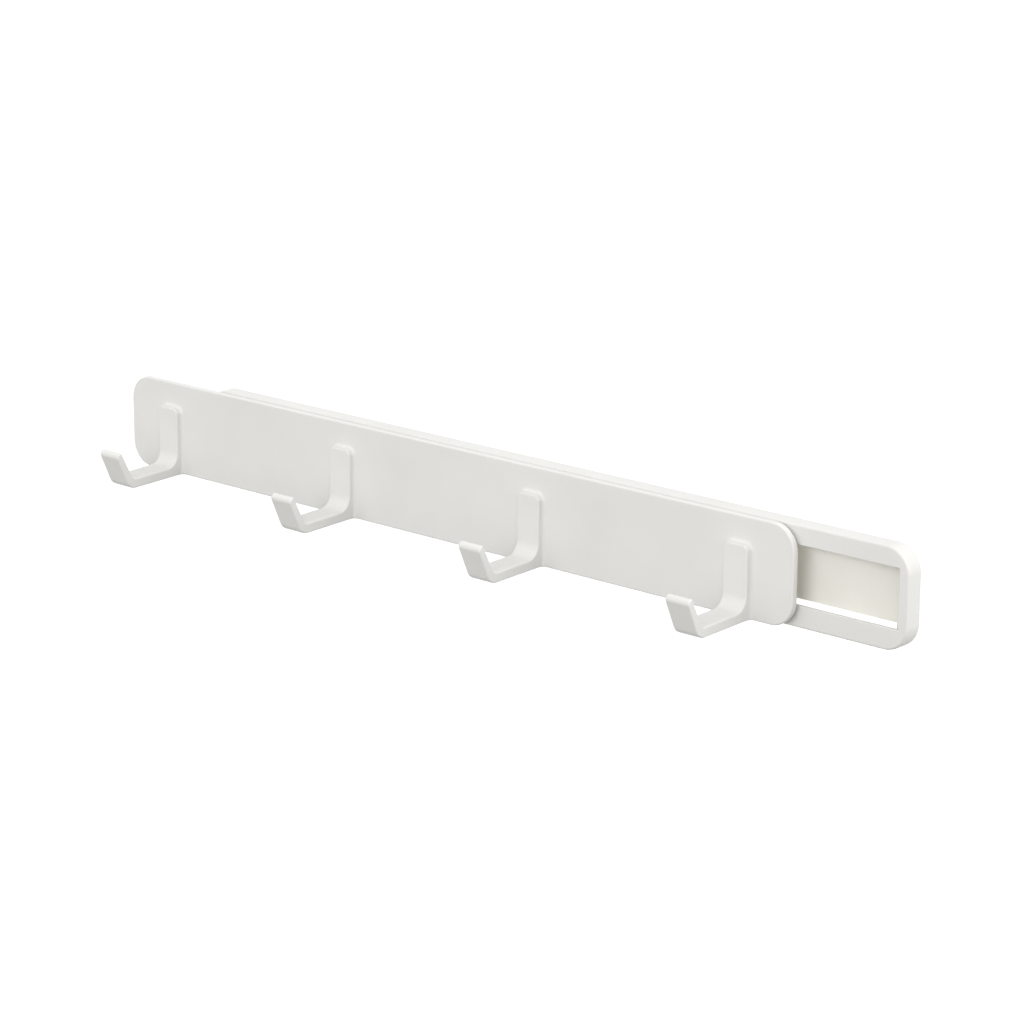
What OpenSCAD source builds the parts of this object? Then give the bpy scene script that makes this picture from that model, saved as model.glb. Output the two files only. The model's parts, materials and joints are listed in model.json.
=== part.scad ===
// Pull-out hook rail for the inside of a wardrobe, in millimetres.
// A moulded plate with hooks rides on a carriage in a flat frame that is screwed to the wall.
// X runs along the rail, +Y points to the wall and +Z up. The origin is the centre of the
// rear face. The plate is drawn part way out to the left, as the slide's rest position.

/* [Hook plate] */
// Length of the hook plate
plate_l = 450; // [400:1:520]
// Height of the hook plate, and of the wall frame behind it
plate_h = 49.5; // [49:0.5:60]
// Thickness of the hook plate
plate_t = 3.2; // [2.8:0.1:4.5]
// Corner radius of the plate and of the frame, seen from the front
corner_r = 13; // [10:0.5:15]

/* [Hooks] */
// Number of hooks
hook_count = 4; // [2:1:6]
// Plate's end to the centre of the first hook
hook_end_inset = 31.5; // [20:0.5:45]
// Width of a hook along the rail
hook_w = 14.2; // [10:0.2:20]
// Height of the pad that joins the hook to the plate
pad_h = 36.5; // [30:0.5:44]
// How far the pad stands proud of the plate
pad_t = 3.5; // [2:0.1:6]
// Thickness of the arm
hook_t = 5.2; // [3.5:0.1:6]
// Thickness of the lip at its tip
lip_t = 3.7; // [3:0.1:5]
// Plate's front face to the outer foot of the lip
hook_reach = 38; // [30:0.1:50]
// Droop of the arm, from the plate's lower edge to the bend
arm_drop = 0.8; // [0:0.1:2]
// Height of the lip's tip over the plate's lower edge
lip_rise = 20; // [14:0.1:26]
// Lean of the lip from upright, outwards, in degrees
lip_lean = 24; // [10:1:35]
// Outer radius of the bend between arm and lip
bend_outer_r = 6.6; // [6:0.1:9]
// Fillet inside that bend
bend_r = 3; // [1:0.1:4]
// Fillet between the arm and the pad
root_r = 7; // [2:0.5:8]
// Rounding of the tip's outer edge
tip_r = 2.4; // [0.6:0.1:2.4]
// Rounding of the tip's inner edge
tip_inner_r = 0.9; // [0.6:0.1:2.4]
// Rounding of the pad's top
pad_top_r = 1.2; // [0.6:0.1:1.6]

/* [Wall frame] */
// How much longer the wall frame is than the hook plate
frame_extra_l = 7; // [0:0.5:10]
// Depth of the frame from the wall to its front face
frame_depth = 9.3; // [9:0.1:14]
// Thickness of the front flange
flange_t = 2.2; // [1.6:0.1:2.4]
// Thickness of the skirt round the outside
skirt_t = 2.5; // [2:0.1:3]
// Height of the flange above the opening
border_top = 9.6; // [9.6:0.1:11.5]
// Height of the flange below the opening
border_bottom = 10.8; // [9.6:0.1:11.5]
// Width of the flange beside the opening
border_w = 5.5; // [4.5:0.1:7]
// Diameter of the screw bosses in the corners
frame_boss_d = 6.4; // [5.6:0.1:7]
// Frame's end to the centre of a boss
frame_boss_inset_x = 8.4; // [8:0.1:9]
// Frame's top or bottom to the centre of a boss
frame_boss_inset_z = 6.3; // [6.1:0.1:6.4]

/* [Back plate] */
// Thickness of the back plate
back_t = 2; // [1.6:0.1:2.4]
// Set-back of the back plate's long edges from the edge of the opening
back_edge_gap = 0.8; // [0.4:0.1:2]
// Width of the full-height ears at both ends
end_ear_w = 8.4; // [7:0.1:9]
// Width of the middle ears that key into the skirt
mid_ear_w = 12; // [8:0.5:20]
// Centre of the rail to the centre of a middle ear
mid_ear_x = 72; // [60:1:90]
// Depth of the skirt's notches for the middle ears
notch_depth = 1.2; // [0.8:0.1:1.4]
// Centre of the rail to the nearest wall screw
wall_screw_x = 64; // [64:1:80]
// Distance between the two wall screws, and between the two keyholes
wall_screw_pitch = 64; // [32:32:64]
// Diameter of the wall screw holes, and width of the keyhole slots
wall_screw_hole_d = 4.5; // [4:0.1:5]
// Diameter of a keyhole's entry
keyhole_entry_d = 8.6; // [8:0.2:9]
// Drop from a keyhole's seat to its entry
keyhole_drop = 6; // [5.6:0.2:7]

/* [Slide] */
// How far the plate stands out of the frame's middle as drawn, to the left
rest_out = 57.5; // [0:0.5:180]
// Travel of the plate from shut to fully out
travel_l = 180; // [120:1:200]
// Gap between the plate and the frame's front face
plate_gap = 2; // [1.6:0.1:3]
// Frame's end to the end of the carriage, with the rail shut
carriage_end_inset = 16; // [16:0.5:20]

/* [Carriage] */
// Thickness of the carriage's slab
slab_t = 3.1; // [2.6:0.1:3.2]
// Clearance of the neck in the opening, above and below
neck_gap = 1.2; // [1:0.1:2]
// Width of the rear groove that clears the wall screws' heads
groove_w = 9.4; // [9:0.1:9.8]
// Depth of that groove in the slab
groove_depth = 2.2; // [2:0.1:2.4]
// Front skin left by the pockets in the neck
skin_t = 1.8; // [1.4:0.1:2.4]
// Length of a pocket along the rail
pocket_l = 18; // [10:1:20]
// Wall left round the pockets and beside the spring seats
pocket_wall = 2.8; // [2:0.1:3.5]
// Width of the rear guide ribs
rib_w = 1; // [0.8:0.1:1.2]
// Set-back of the ribs from the back plate's long edges
rib_inset = 0.3; // [0.2:0.1:0.6]

/* [Carriage screws] */
// Number of screw columns along the carriage
screw_columns = 3; // [2:1:4]
// Carriage's end to the first column
screw_end_inset = 16; // [14:0.5:20]
// Diameter of the bosses on the back of the hook plate
plate_boss_d = 5.2; // [4.8:0.1:5.6]
// Length of those bosses
plate_boss_l = 4; // [3.4:0.1:4.2]
// Shank diameter of the carriage screws
screw_d = 2.5; // [2.2:0.1:2.6]
// Diameter of their pan heads
screw_head_d = 4.8; // [4.4:0.1:5]
// Height of their heads
screw_head_h = 1.8; // [1.4:0.1:1.9]
// Depth of their heads below the slab's rear face
screw_head_sink = 0.3; // [0.1:0.1:0.4]
// Front skin of the plate left under a screw's pilot bore
pilot_skin = 1.6; // [1.2:0.1:2]

/* [Frame screws] */
// Shank diameter of the frame screws
frame_screw_d = 2.4; // [2:0.1:2.6]
// Diameter of their countersunk heads
frame_screw_head_d = 4.4; // [4:0.1:4.6]
// Length of the frame screws
frame_screw_l = 6; // [4.5:0.1:6.2]
// Width of the slots of a driver recess
recess_w = 0.6; // [0.4:0.1:0.8]

/* [Glides] */
// Length of a glide shoe along the rail
shoe_l = 26; // [18:1:30]
// Carriage's end to the shoe
shoe_inset = 6; // [4:0.5:8]
// How far a shoe's legs reach over the slab
shoe_leg = 3.3; // [2:0.1:3.6]
// Thickness of a shoe's web under the skirt
shoe_web = 3.2; // [2.4:0.1:3.6]
// Height of a glide strip on the back of the hook plate
strip_h = 5; // [3:0.1:5.4]
// Plate's top or bottom edge to the glide strip
strip_inset = 3.2; // [3:0.1:3.6]

/* [Stops] */
// Length of a buffer along the rail
buffer_l = 4.2; // [3:0.1:4.3]
// Height of a buffer
buffer_h = 4; // [3:0.1:4]
// Depth of a buffer behind the flange
buffer_t = 3.5; // [2.4:0.1:3.6]

/* [Drag springs] */
// Chord of the bowed leaf spring
spring_l = 38; // [30:1:40]
// Width of the leaf spring
spring_w = 4.2; // [3.6:0.1:4.4]
// Thickness of the leaf spring
spring_t = 0.3; // [0.2:0.05:0.4]
// Depth of the spring's seat in the slab
seat_depth = 0.9; // [0.8:0.05:1]
// Distance of a spring from the quarter point of the carriage, towards the middle
spring_shift = 4; // [0:0.5:6]
// Thickness of the pad that slides on the back plate
drag_pad_t = 0.7; // [0.6:0.05:0.8]
// Length of that pad
drag_pad_l = 8; // [6:0.5:10]
// Width of that pad
drag_pad_w = 3.6; // [3:0.1:3.6]
// Diameter of the pad's stake through the spring
stake_d = 1.4; // [1:0.1:1.6]
// Length of the stake past the spring
stake_l = 0.3; // [0.1:0.05:0.35]

/* [Clearances] */
// Running clearance between the sliding and the fixed pieces
run_gap = 0.1; // [0.08:0.01:0.15]
// Clearance of pieces that are fitted together
fit_gap = 0.05; // [0.03:0.01:0.08]
// Clearance of sockets, notches and seats
loose_gap = 0.2; // [0.15:0.01:0.25]

/* [Hidden] */
$fn = 96;
eps = 0.01;

// Depths, along Y, from the wall to the front
rear_y = 0;
back_y = rear_y - back_t;
frame_y = rear_y - frame_depth;
flange_y = frame_y + flange_t;
plate_back_y = frame_y - plate_gap;
plate_y = plate_back_y - plate_t;
channel_y = (flange_y + back_y) / 2;
slab_back_y = channel_y + slab_t / 2;
slab_y = channel_y - slab_t / 2;

// The opening and the channels behind the flange
frame_l = plate_l + frame_extra_l;
half_l = frame_l / 2;
half_h = plate_h / 2;
open_x = half_l - border_w;
open_top = half_h - border_top;
open_bottom = border_bottom - half_h;
strip_top = open_top - back_edge_gap;
strip_bottom = open_bottom + back_edge_gap;
channel_z = half_h - skirt_t;
channel_x = half_l - skirt_t;
boss_x = half_l - frame_boss_inset_x;
boss_z = half_h - frame_boss_inset_z;

// The plate and the hooks at rest
plate_x = -rest_out;
hook_pitch = (plate_l - 2 * hook_end_inset) / (hook_count - 1);
hook_xs = [for (i = [0:hook_count - 1]) plate_x - plate_l / 2 + hook_end_inset + i * hook_pitch];
hook_z = -half_h;
lip_turn = 90 - lip_lean;
lip_foot_t = (hook_t + lip_t) / 2;

// The carriage: it fills the frame between the stops, less the travel
carriage_l = frame_l - 2 * carriage_end_inset - travel_l;
carriage_x1 = plate_x + half_l - carriage_end_inset;
carriage_x0 = carriage_x1 - carriage_l;
neck_top = open_top - neck_gap;
neck_bottom = open_bottom + neck_gap;
rib_top = strip_top - rib_inset;
rib_bottom = strip_bottom + rib_inset;
screw_row_z = (groove_w / 2 + min(neck_top, -neck_bottom)) / 2;
column_pitch = (carriage_l - 2 * screw_end_inset) / (screw_columns - 1);
column_xs = [for (i = [0:screw_columns - 1]) carriage_x0 + screw_end_inset + i * column_pitch];
head_seat_y = slab_back_y - screw_head_h - screw_head_sink;
socket_y = plate_back_y + plate_boss_l + loose_gap;

// The glide shoes wrap the slab's long edges
shoe_top = channel_z - run_gap;
slab_z = shoe_top - shoe_web / 2;
shoe_seat_z = shoe_top - shoe_web;
shoe_xs = [carriage_x0 + shoe_inset, carriage_x1 - shoe_inset - shoe_l];

// The drag springs sit half way between the outer screw columns and the middle
spring_xs = [carriage_x0 + carriage_l / 4 + spring_shift, carriage_x1 - carriage_l / 4 - spring_shift];
spring_row_z = (groove_w / 2 + min(rib_top, -rib_bottom) - rib_w) / 2;
spring_z = [spring_row_z, -spring_row_z];
seat_y = slab_back_y - seat_depth;
drag_pad_y = back_y - fit_gap;
crown_y = drag_pad_y - drag_pad_t - fit_gap;
spring_rise = crown_y - spring_t - (seat_y + fit_gap);
spring_bow_r = (pow(spring_l / 2, 2) + pow(spring_rise, 2)) / (2 * spring_rise);
pocket_xs = [for (x = spring_xs, s = [-1, 1]) x + s * (spring_l / 2 + pocket_wall + pocket_l / 2)];

// Colours
white = [0.88, 0.88, 0.86];
warm_white = [0.86, 0.84, 0.78];
natural = [0.93, 0.92, 0.88];
steel = [0.72, 0.73, 0.75];
black = [0.12, 0.12, 0.12];

// Points of an arc round c, from angle a0 to a1
function arc(c, r, a0, a1, n = 12) =
    [for (i = [0:n]) c + r * [cos(a0 + (a1 - a0) * i / n), sin(a0 + (a1 - a0) * i / n)]];

// Flat outline with round corners, centred
module rounded_outline(l, h, r) {
    square([l - 2 * r, h], center = true);
    square([l, h - 2 * r], center = true);
    for (x = [-1, 1], z = [-1, 1]) translate([x * (l / 2 - r), z * (h / 2 - r)]) circle(r);
}

// Stands a flat outline up in the XZ plane and fills it from y0 back to y1
module upright(y0, y1) {
    translate([0, y1, 0]) rotate([90, 0, 0]) linear_extrude(y1 - y0) children();
}

// Box between two corners
module block(a, b) {
    translate(a) cube(b - a);
}

// Round bar along Y, from y0 back to y1
module bar_y(x, z, d, y0, y1) {
    translate([x, y1, z]) rotate([90, 0, 0]) cylinder(d = d, h = y1 - y0);
}

// Side view of a hook: Y to the plate's front face at 0, Z from the plate's lower edge
module hook_profile() {
    foot = -hook_reach + bend_outer_r * tan(lip_turn / 2);
    bend = [foot, bend_outer_r - arm_drop];
    along = [-sin(lip_lean), cos(lip_lean)];
    across = [-cos(lip_lean), -sin(lip_lean)];
    lip_l = (lip_rise - tip_inner_r - bend[1] + (bend_outer_r - lip_t + tip_inner_r) * sin(lip_lean))
        / cos(lip_lean) + tip_inner_r;
    taper = atan((lip_foot_t - lip_t) / lip_l);
    tip_outer_r = min(tip_r, lip_t - tip_inner_r - 0.2);
    outer_tip = bend + (bend_outer_r - tip_outer_r) * across + (lip_l - tip_outer_r) * along;
    inner_tip = bend + (bend_outer_r - lip_t - tip_inner_r * tan(taper) + tip_inner_r) * across
        + (lip_l - tip_inner_r) * along;
    inner_foot = bend + (bend_outer_r - lip_foot_t) * across;
    fillet_z = hook_t - arm_drop + bend_r;
    inner_bend = [inner_foot[0] + (bend_r - (fillet_z - inner_foot[1]) * sin(lip_lean + taper))
        / cos(lip_lean + taper), fillet_z];
    root = [-pad_t - root_r, hook_t + root_r];
    polygon(concat(
        [[1, 0], [-pad_t, 0]],
        arc(bend, bend_outer_r, 270, 270 - lip_turn),
        arc(outer_tip, tip_outer_r, 180 + lip_lean, 90 + lip_lean, 6),
        arc(inner_tip, tip_inner_r, 90 + lip_lean, lip_lean + taper, 8),
        arc(inner_bend, bend_r, 180 + lip_lean + taper, 270, 8),
        arc(root, root_r, 270, 360, 8),
        arc([-pad_t + pad_top_r, pad_h - pad_top_r], pad_top_r, 180, 90, 6),
        [[1, pad_h]]
    ));
}

module hook() {
    rotate([90, 0, 90]) linear_extrude(hook_w, center = true) hook_profile();
}

// One moulding: the plate, its hooks, and the screw bosses on its back
module hook_plate() {
    color(white) difference() {
        union() {
            translate([plate_x, 0, 0]) upright(plate_y, plate_back_y)
                rounded_outline(plate_l, plate_h, corner_r);
            for (x = hook_xs) translate([x, plate_y, hook_z]) hook();
            for (x = column_xs, z = [-1, 1])
                bar_y(x, z * screw_row_z, plate_boss_d, plate_back_y - eps, plate_back_y + plate_boss_l);
        }
        for (x = column_xs, z = [-1, 1])
            bar_y(x, z * screw_row_z, screw_d + 2 * fit_gap, plate_y + pilot_skin,
                plate_back_y + plate_boss_l + eps);
    }
}

// Ring with a front flange, an outer skirt, and screw bosses in its corners
module wall_frame() {
    color(white) difference() {
        union() {
            difference() {
                upright(frame_y, rear_y) rounded_outline(frame_l, plate_h, corner_r);
                upright(flange_y, rear_y + eps)
                    rounded_outline(2 * channel_x, 2 * channel_z, corner_r - skirt_t);
            }
            for (x = [-1, 1], z = [-1, 1])
                bar_y(x * boss_x, z * boss_z, frame_boss_d, flange_y - eps, back_y);
        }
        block([-open_x, frame_y - eps, open_bottom], [open_x, flange_y + eps, open_top]);
        for (x = [-1, 1], z = [-1, 1])
            bar_y(x * boss_x, z * boss_z, frame_screw_d + 2 * fit_gap, rear_y - frame_screw_l - loose_gap,
                back_y + eps);
        for (x = [-1, 1], z = [-1, 1]) translate([x * mid_ear_x, 0, z * channel_z])
            block([-mid_ear_w / 2 - loose_gap, back_y - fit_gap, -notch_depth - loose_gap / 2],
                [mid_ear_w / 2 + loose_gap, rear_y + eps, notch_depth + loose_gap / 2]);
    }
}

// Long plate across the back, with ears that tie it to the frame and the fixings for the wall
module back_plate() {
    back_x = channel_x - loose_gap;
    back_z = channel_z - loose_gap;
    color(warm_white) difference() {
        union() {
            intersection() {
                upright(back_y, rear_y)
                    rounded_outline(2 * back_x, 2 * back_z, corner_r - skirt_t - loose_gap);
                union() {
                    block([-back_x, back_y, strip_bottom], [back_x, rear_y, strip_top]);
                    for (x = [-1, 1]) translate([x * (back_x - end_ear_w / 2), back_y, -back_z])
                        translate([-end_ear_w / 2, 0, 0]) cube([end_ear_w, back_t, 2 * back_z]);
                }
            }
            for (x = [-1, 1]) translate([x * mid_ear_x, 0, 0])
                block([-mid_ear_w / 2, back_y, -channel_z - notch_depth],
                    [mid_ear_w / 2, rear_y, channel_z + notch_depth]);
        }
        for (i = [0, 1])
            bar_y(wall_screw_x + i * wall_screw_pitch, 0, wall_screw_hole_d, back_y - eps, rear_y + eps);
        for (i = [0, 1]) translate([-wall_screw_x - i * wall_screw_pitch, 0, 0]) keyhole();
        for (x = [-1, 1], z = [-1, 1]) frame_screw_hole(x * boss_x, z * boss_z);
    }
}

// Round entry with a slot that rises from it to the seat
module keyhole() {
    bar_y(0, 0, wall_screw_hole_d, back_y - eps, rear_y + eps);
    bar_y(0, -keyhole_drop, keyhole_entry_d, back_y - eps, rear_y + eps);
    block([-wall_screw_hole_d / 2, back_y - eps, -keyhole_drop], [wall_screw_hole_d / 2, rear_y + eps, 0]);
}

// Countersunk hole through the back plate's ear
module frame_screw_hole(x, z) {
    head_h = (frame_screw_head_d - frame_screw_d) / 2;
    bar_y(x, z, frame_screw_d + 4 * fit_gap, back_y - eps, rear_y + eps);
    translate([x, rear_y + eps, z]) rotate([90, 0, 0])
        cylinder(d1 = frame_screw_head_d + 4 * fit_gap, d2 = frame_screw_d + 4 * fit_gap, h = head_h + eps);
}

module frame_screws() {
    head_h = (frame_screw_head_d - frame_screw_d) / 2;
    color(steel) for (x = [-1, 1], z = [-1, 1]) difference() {
        union() {
            bar_y(x * boss_x, z * boss_z, frame_screw_d, rear_y - frame_screw_l, rear_y - head_h + eps);
            translate([x * boss_x, rear_y - 2 * fit_gap, z * boss_z]) rotate([90, 0, 0])
                cylinder(d1 = frame_screw_head_d - 2 * fit_gap, d2 = frame_screw_d, h = head_h);
        }
        cross_recess(x * boss_x, rear_y, z * boss_z, frame_screw_d, frame_screw_d / 3);
    }
}

// Cross-shaped driver recess in a screw's head, open to the rear
module cross_recess(x, y, z, l, depth) {
    for (a = [0, 90]) translate([x, y, z]) rotate([0, a, 0])
        block([-l / 2, -depth, -recess_w / 2], [l / 2, depth, recess_w / 2]);
}

// Slab that runs behind the flange, with a neck through the opening to the hook plate
module carriage() {
    color(natural) difference() {
        union() {
            block([carriage_x0, slab_y, -slab_z], [carriage_x1, slab_back_y, slab_z]);
            block([carriage_x0, plate_back_y, neck_bottom], [carriage_x1, slab_y + eps, neck_top]);
            for (z = [rib_bottom, rib_top - rib_w])
                block([carriage_x0, slab_back_y - eps, z], [carriage_x1, back_y - run_gap, z + rib_w]);
        }
        block([carriage_x0 - 1, slab_back_y - groove_depth, -groove_w / 2],
            [carriage_x1 + 1, slab_back_y + eps, groove_w / 2]);
        for (x = pocket_xs)
            block([x - pocket_l / 2, plate_back_y + skin_t, neck_bottom + pocket_wall],
                [x + pocket_l / 2, slab_back_y + eps, neck_top - pocket_wall]);
        for (x = column_xs, z = [-1, 1]) carriage_screw_hole(x, z * screw_row_z);
        for (i = [0, 1]) translate([spring_xs[i], 0, spring_z[i]])
            block([-spring_l / 2 - loose_gap, seat_y, -spring_w / 2 - loose_gap],
                [spring_l / 2 + loose_gap, slab_back_y + eps, spring_w / 2 + loose_gap]);
        for (x = shoe_xs, s = [0, 1]) mirror([0, 0, s])
            block([x - fit_gap, slab_y - eps, shoe_seat_z - fit_gap],
                [x + shoe_l + fit_gap, slab_back_y + eps, slab_z + eps]);
    }
}

// Socket for a boss, clearance for the shank and a counterbore for the head
module carriage_screw_hole(x, z) {
    bar_y(x, z, plate_boss_d + 2 * run_gap, plate_back_y - eps, socket_y);
    bar_y(x, z, screw_d + 2 * loose_gap, plate_back_y, slab_back_y + eps);
    bar_y(x, z, screw_head_d + 3 * loose_gap, head_seat_y, slab_back_y + eps);
}

module carriage_screws() {
    tip_y = plate_y + pilot_skin + loose_gap;
    color(steel) for (x = column_xs, s = [-1, 1]) difference() {
        union() {
            bar_y(x, s * screw_row_z, screw_d, tip_y, head_seat_y + eps);
            bar_y(x, s * screw_row_z, screw_head_d, head_seat_y, head_seat_y + screw_head_h);
        }
        cross_recess(x, head_seat_y + screw_head_h, s * screw_row_z, screw_d, screw_head_h / 2);
    }
}

// Shoe that wraps the slab's long edge; side is 1 for the upper edge and -1 for the lower
module glide(x, side) {
    front = flange_y + run_gap;
    rear = back_y - run_gap;
    mirror([0, 0, side < 0 ? 1 : 0]) color(natural) difference() {
        block([x, front, shoe_seat_z - shoe_leg], [x + shoe_l, rear, shoe_top]);
        block([x - eps, slab_y - fit_gap, shoe_seat_z - shoe_leg - eps],
            [x + shoe_l + eps, slab_back_y + fit_gap, shoe_seat_z]);
    }
}

// Flat strip on the back of the hook plate that runs on the front of the flange
module glide_strip(side) {
    top = half_h - strip_inset;
    mirror([0, 0, side < 0 ? 1 : 0]) color(natural)
        block([carriage_x0, plate_back_y, top - strip_h], [carriage_x1, frame_y - run_gap, top]);
}

// Soft stop behind the flange, against the corner boss; end is -1 on the left, side is -1 below
module buffer(end, side) {
    x = half_l - carriage_end_inset + run_gap;
    mirror([end < 0 ? 1 : 0, 0, 0]) mirror([0, 0, side < 0 ? 1 : 0]) color(black)
        block([x, flange_y, boss_z - buffer_h / 2],
            [x + buffer_l, flange_y + buffer_t, boss_z + buffer_h / 2]);
}

// Bowed strip whose crown presses the pad on to the back plate
module drag_spring(i) {
    centre = [0, crown_y - spring_bow_r];
    half = asin(spring_l / 2 / spring_bow_r);
    color(steel) translate([spring_xs[i], 0, spring_z[i]]) difference() {
        translate([0, 0, -spring_w / 2]) linear_extrude(spring_w) polygon(concat(
            arc(centre, spring_bow_r, 90 + half, 90 - half, 24),
            arc(centre, spring_bow_r - spring_t, 90 - half, 90 + half, 24)
        ));
        bar_y(0, 0, stake_d + 2 * run_gap, crown_y - 1, crown_y + 1);
    }
}

module drag_pad(i) {
    color(natural) translate([spring_xs[i], 0, spring_z[i]]) {
        block([-drag_pad_l / 2, drag_pad_y - drag_pad_t, -drag_pad_w / 2],
            [drag_pad_l / 2, drag_pad_y, drag_pad_w / 2]);
        bar_y(0, 0, stake_d, crown_y - spring_t - stake_l, drag_pad_y - eps);
    }
}

wall_frame();
back_plate();
frame_screws();
buffer(-1, 1);  // upper_left_buffer
buffer(-1, -1);  // lower_left_buffer
buffer(1, 1);  // upper_right_buffer
buffer(1, -1);  // lower_right_buffer
hook_plate();
carriage();
carriage_screws();
glide(shoe_xs[0], 1);  // upper_left_glide
glide(shoe_xs[0], -1);  // lower_left_glide
glide(shoe_xs[1], 1);  // upper_right_glide
glide(shoe_xs[1], -1);  // lower_right_glide
glide_strip(1);  // upper_glide_strip
glide_strip(-1);  // lower_glide_strip
drag_spring(0);  // left_drag_spring
drag_spring(1);  // right_drag_spring
drag_pad(0);  // left_drag_pad
drag_pad(1);  // right_drag_pad
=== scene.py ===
# %% [markdown]
# A pull-out hook rail
#
# This notebook dresses a hook rail for the inside of a wardrobe. A white moulded plate with four
# hooks slides sideways in a flat frame on the wall. The construction comes from a CAD model, which
# is loaded as a fixed frame. Here the mouldings get their rounded edges and fillets, and every
# surface gets its finish. X runs along the rail, +Y points to the wall and +Z up, in metres.

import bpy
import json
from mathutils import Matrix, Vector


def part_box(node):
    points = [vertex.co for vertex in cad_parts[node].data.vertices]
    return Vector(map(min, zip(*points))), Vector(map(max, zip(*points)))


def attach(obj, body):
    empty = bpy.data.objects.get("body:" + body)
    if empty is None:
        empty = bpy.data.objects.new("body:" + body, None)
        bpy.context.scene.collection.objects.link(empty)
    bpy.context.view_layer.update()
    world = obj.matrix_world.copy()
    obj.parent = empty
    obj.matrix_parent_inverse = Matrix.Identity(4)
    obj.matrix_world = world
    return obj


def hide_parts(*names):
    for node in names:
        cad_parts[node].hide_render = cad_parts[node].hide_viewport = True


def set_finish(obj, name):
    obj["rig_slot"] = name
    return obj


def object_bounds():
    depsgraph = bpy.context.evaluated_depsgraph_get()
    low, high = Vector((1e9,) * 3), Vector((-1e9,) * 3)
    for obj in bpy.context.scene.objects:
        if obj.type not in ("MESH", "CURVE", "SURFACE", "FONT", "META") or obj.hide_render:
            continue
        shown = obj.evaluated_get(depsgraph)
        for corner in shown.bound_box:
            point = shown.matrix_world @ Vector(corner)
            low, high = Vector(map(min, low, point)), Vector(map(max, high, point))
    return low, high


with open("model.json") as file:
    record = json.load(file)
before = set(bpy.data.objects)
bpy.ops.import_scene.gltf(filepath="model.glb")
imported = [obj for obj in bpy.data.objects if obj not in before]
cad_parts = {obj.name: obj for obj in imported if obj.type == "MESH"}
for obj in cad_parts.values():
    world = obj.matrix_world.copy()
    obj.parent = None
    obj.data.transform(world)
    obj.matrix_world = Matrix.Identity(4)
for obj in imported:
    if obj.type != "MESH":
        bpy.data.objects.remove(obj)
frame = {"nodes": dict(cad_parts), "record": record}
cad_low, cad_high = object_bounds()
print("CAD box from", tuple(cad_low), "to", tuple(cad_high))

# %% Tools of this notebook
import json
from math import atan, cos, pi, radians, sin, tan

import bmesh
import bpy
from mathutils import Matrix, Vector

mm = 0.001
X, Y, Z = Vector((1, 0, 0)), Vector((0, 1, 0)), Vector((0, 0, 1))

# %% [markdown]
# The camera
#
# The photograph looks down on the rail from its right-hand end with a long lens, so parallel edges
# almost stay parallel. A camera could be aimed with a constraint, but its place follows directly
# from three angles and a distance, which read like a photographer's notes: how far round, how far
# up, how far away, and the slight roll of the tripod.

# %% Camera
azimuth = radians(41.86)
elevation = radians(15.68)
roll = radians(0.17)
camera_distance = 1740 * mm
aim = Vector((-21.2, 2.1, -7.0)) * mm

right = Vector((cos(azimuth), sin(azimuth), 0))
back = Vector((sin(azimuth) * cos(elevation), -cos(azimuth) * cos(elevation), sin(elevation)))
up = back.cross(right)
turned_right = cos(roll) * right + sin(roll) * up
turned_up = cos(roll) * up - sin(roll) * right

bpy.ops.object.camera_add()
camera = bpy.context.object
camera.matrix_world = Matrix((turned_right, turned_up, back)).transposed().to_4x4()
camera.location = aim + back * camera_distance
camera.data.lens = 122.7
camera.data.sensor_width = 36
camera.data.clip_end = 100
bpy.context.scene.camera = camera
print("camera at", tuple(round(c, 4) for c in camera.location))

# %% [markdown]
# Modelling by hand, in code
#
# Each piece starts as a box and is shaped in edit mode with the same tools as in the window: cut,
# extrude, spin, bevel. In code the one thing to add is the selection. pick() clears it and then
# selects faces or edges by a test on their place or direction, so a step never acts on left-overs.


# %% Start a piece
def start_block(name, low, high):
    """Adds a box between two corners and stays in edit mode, with its place in its mesh."""
    bpy.ops.object.select_all(action="DESELECT")
    bpy.ops.mesh.primitive_cube_add(size=1)
    piece = bpy.context.object
    piece.name = name
    bpy.ops.object.mode_set(mode="EDIT")
    bpy.ops.transform.resize(value=high - low, center_override=(0, 0, 0))
    bpy.ops.transform.translate(value=(low + high) / 2)
    return piece


# %% Select by a test
def pick(kind, test):
    """Selects only those faces or edges of the mesh in edit mode that pass the test."""
    bpy.ops.mesh.select_mode(type=kind)
    bpy.ops.mesh.select_all(action="DESELECT")
    mesh = bpy.context.object.data
    shape = bmesh.from_edit_mesh(mesh)
    shape.normal_update()
    picked = [part for part in (shape.faces if kind == "FACE" else shape.edges) if test(part)]
    for part in picked:
        part.select_set(True)
    bmesh.update_edit_mesh(mesh)
    return len(picked)


# %% Tests on place
same_place = 0.02 * mm  # coordinates closer than this count as one
slack = 0.01 * mm  # how far a drawn edge may be off its computed place


def middle(part):
    """Centre of a face or an edge."""
    corners = [corner.co for corner in part.verts]
    return sum(corners, Vector()) / len(corners)


def near(a, b):
    """Whether two coordinates are the same place."""
    return abs(a - b) < same_place


# %% Tests on direction
aligned = 0.999  # cosine of the widest angle that still counts as parallel
corner_angle = radians(50)


def looks(face, direction):
    """Whether a face looks in a direction."""
    return face.normal.dot(direction) > aligned


def faces_towards(direction):
    """Test for a face that looks in a direction."""
    return lambda face: looks(face, direction)


def runs_along(edge, direction):
    """Whether an edge is parallel to a direction."""
    span = edge.verts[1].co - edge.verts[0].co
    return abs(span.normalized().dot(direction)) > aligned


def sharp(edge):
    """Whether an edge is an outward corner that a mould maker would still round."""
    return edge.is_manifold and edge.calc_face_angle_signed() > corner_angle


# %% Cut and round
flat_angle = radians(0.5)  # faces that differ less than this lie in one plane


def cut(test, place, direction):
    """Cuts the faces that pass the test with a plane."""
    pick("FACE", test)
    bpy.ops.mesh.bisect(plane_co=place, plane_no=direction)


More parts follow.
